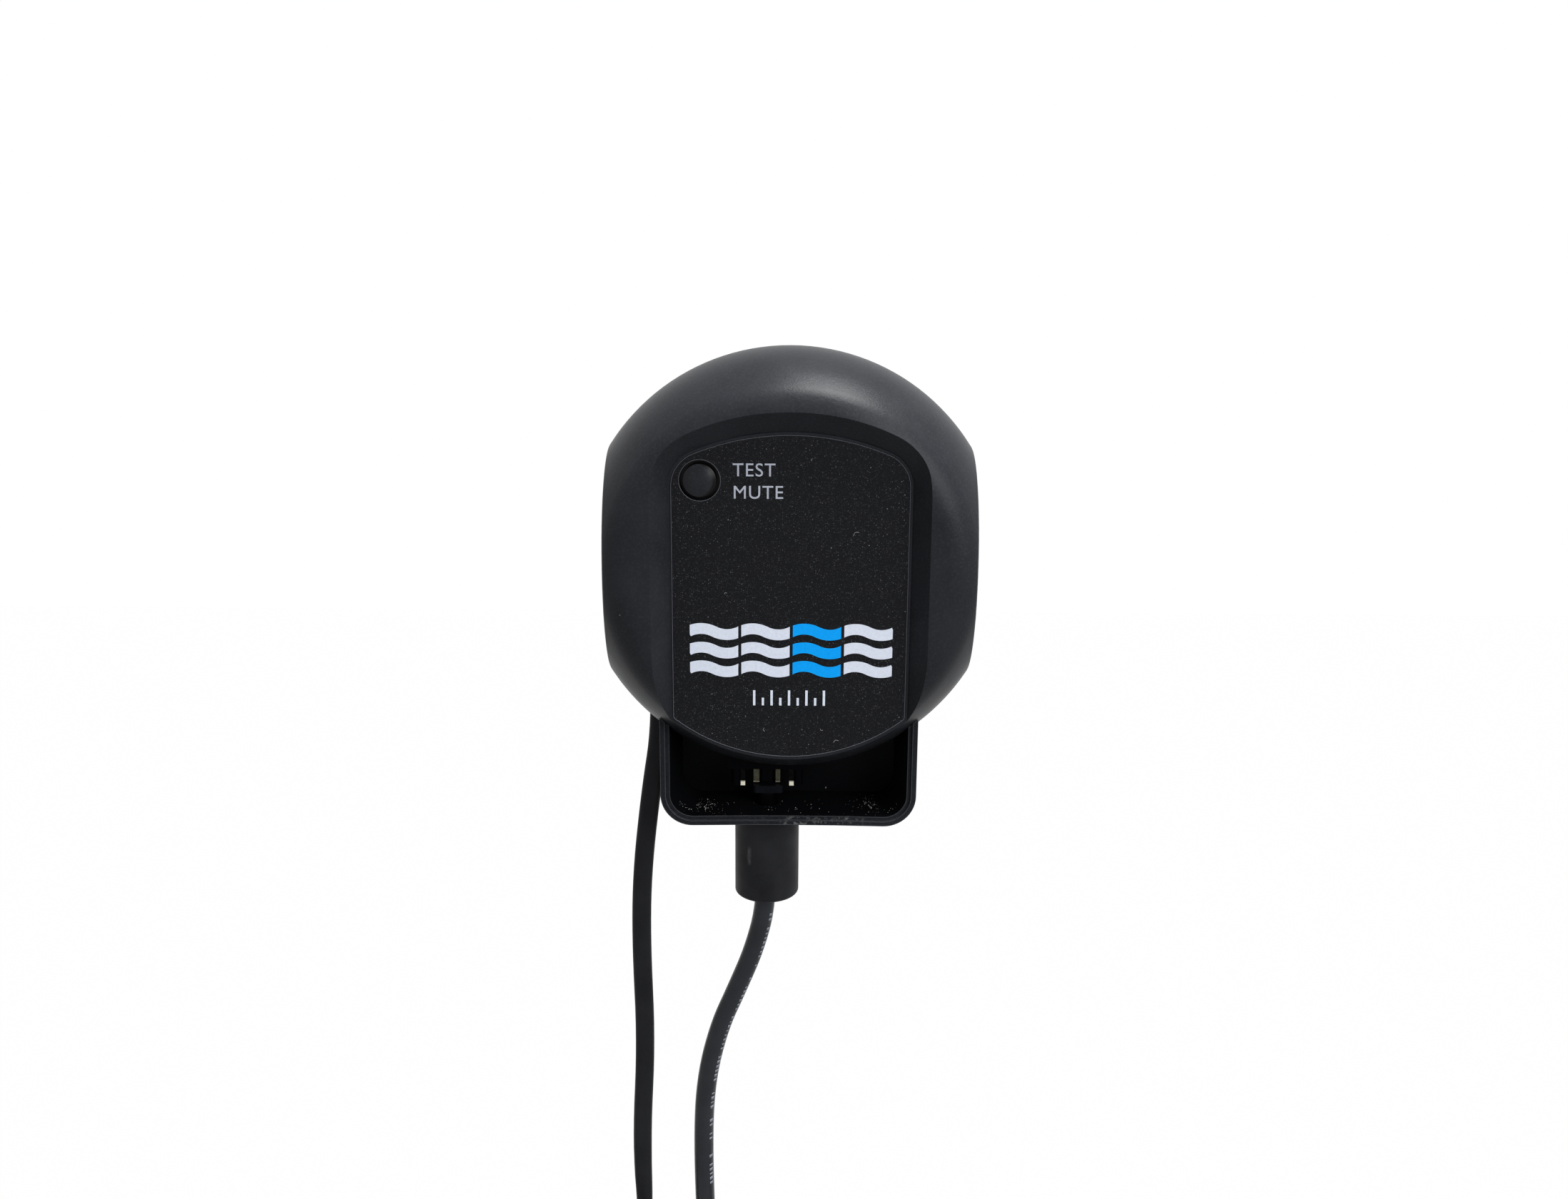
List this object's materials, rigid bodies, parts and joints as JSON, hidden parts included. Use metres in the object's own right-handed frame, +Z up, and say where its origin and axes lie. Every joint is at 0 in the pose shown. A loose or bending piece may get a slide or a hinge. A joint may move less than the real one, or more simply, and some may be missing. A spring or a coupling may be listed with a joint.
{
  "type": "sump alarm",
  "caption": "Wall-hung water level alarm with a domed round head, recessed label and test button, a plug-in probe in a pocket under it, and a power lead.",
  "frame": {"origin": "on the wall plane, behind the centre of the round head", "axes": "+Z up the wall, +Y into the wall, +X to the right of someone who faces the alarm"},
  "size_m": [0.1395, 0.0275, 0.351],
  "materials": {
    "housing_black": "fine matt texture, very dark grey",
    "label_dark": "fine pale sparkle in a dark film",
    "print_pale": "flat pale ink",
    "print_blue": "flat blue ink",
    "button_black": "satin",
    "seal_rubber": "soft",
    "board_green": "solder mask",
    "chip_black": "moulded",
    "can_metal": "tinned",
    "capacitor_sleeve": "shrink sleeve",
    "header_white": "natural nylon",
    "steel": "plated",
    "cell_jacket": "printed film, bare",
    "contact_nickel": "nickel plated",
    "contact_brass": "plated brass",
    "lead_jacket": "satin jacket",
    "wire_red": "insulation",
    "tie_black": "nylon"
  },
  "bodies": {
    "alarm": {"front_housing": "housing_black", "rear_housing": "housing_black", "housing_gasket": "seal_rubber", "face_label": "label_dark", "printed_waves": "print_pale", "printed_wave_blue": "print_blue", "printed_ticks": "print_pale", "tact_switch": "chip_black", "main_board": "board_green", "microcontroller": "chip_black", "radio_module": "can_metal", "smoothing_capacitors": "capacitor_sleeve", "power_header": "header_white", "sounder": "chip_black", "board_screws": "steel", "housing_screws": "steel", "battery_holder": "chip_black", "battery_cells": "cell_jacket", "battery_contacts": "contact_nickel", "battery_door": "housing_black", "sensor_socket": "housing_black", "contact_blades": "contact_brass", "contact_pins": "contact_brass", "plug_nose": "housing_black", "plug_sleeve": "lead_jacket", "sensor_lead": "lead_jacket", "sensor_lead_coil": "lead_jacket", "sensor_coil_ties": "tie_black", "sensor_lead_tail": "lead_jacket", "probe_body": "housing_black", "probe_pins": "steel", "power_grommet": "seal_rubber", "power_wires": "wire_red", "power_lead": "lead_jacket", "power_lead_coil": "lead_jacket", "power_coil_ties": "tie_black", "power_lead_tail": "lead_jacket", "power_plug_grip": "housing_black", "power_plug_shell": "contact_nickel", "power_plug_tongue": "header_white"},
    "button": {"test_button": "button_black", "switch_plunger": "button_black"}
  },
  "joints": [
    {"name": "test_press", "type": "slide", "parent": "alarm", "child": "button", "axis": [0, 1, 0], "range_m": [0, 0.0008], "stiffness_N_per_m": 400}
  ]
}
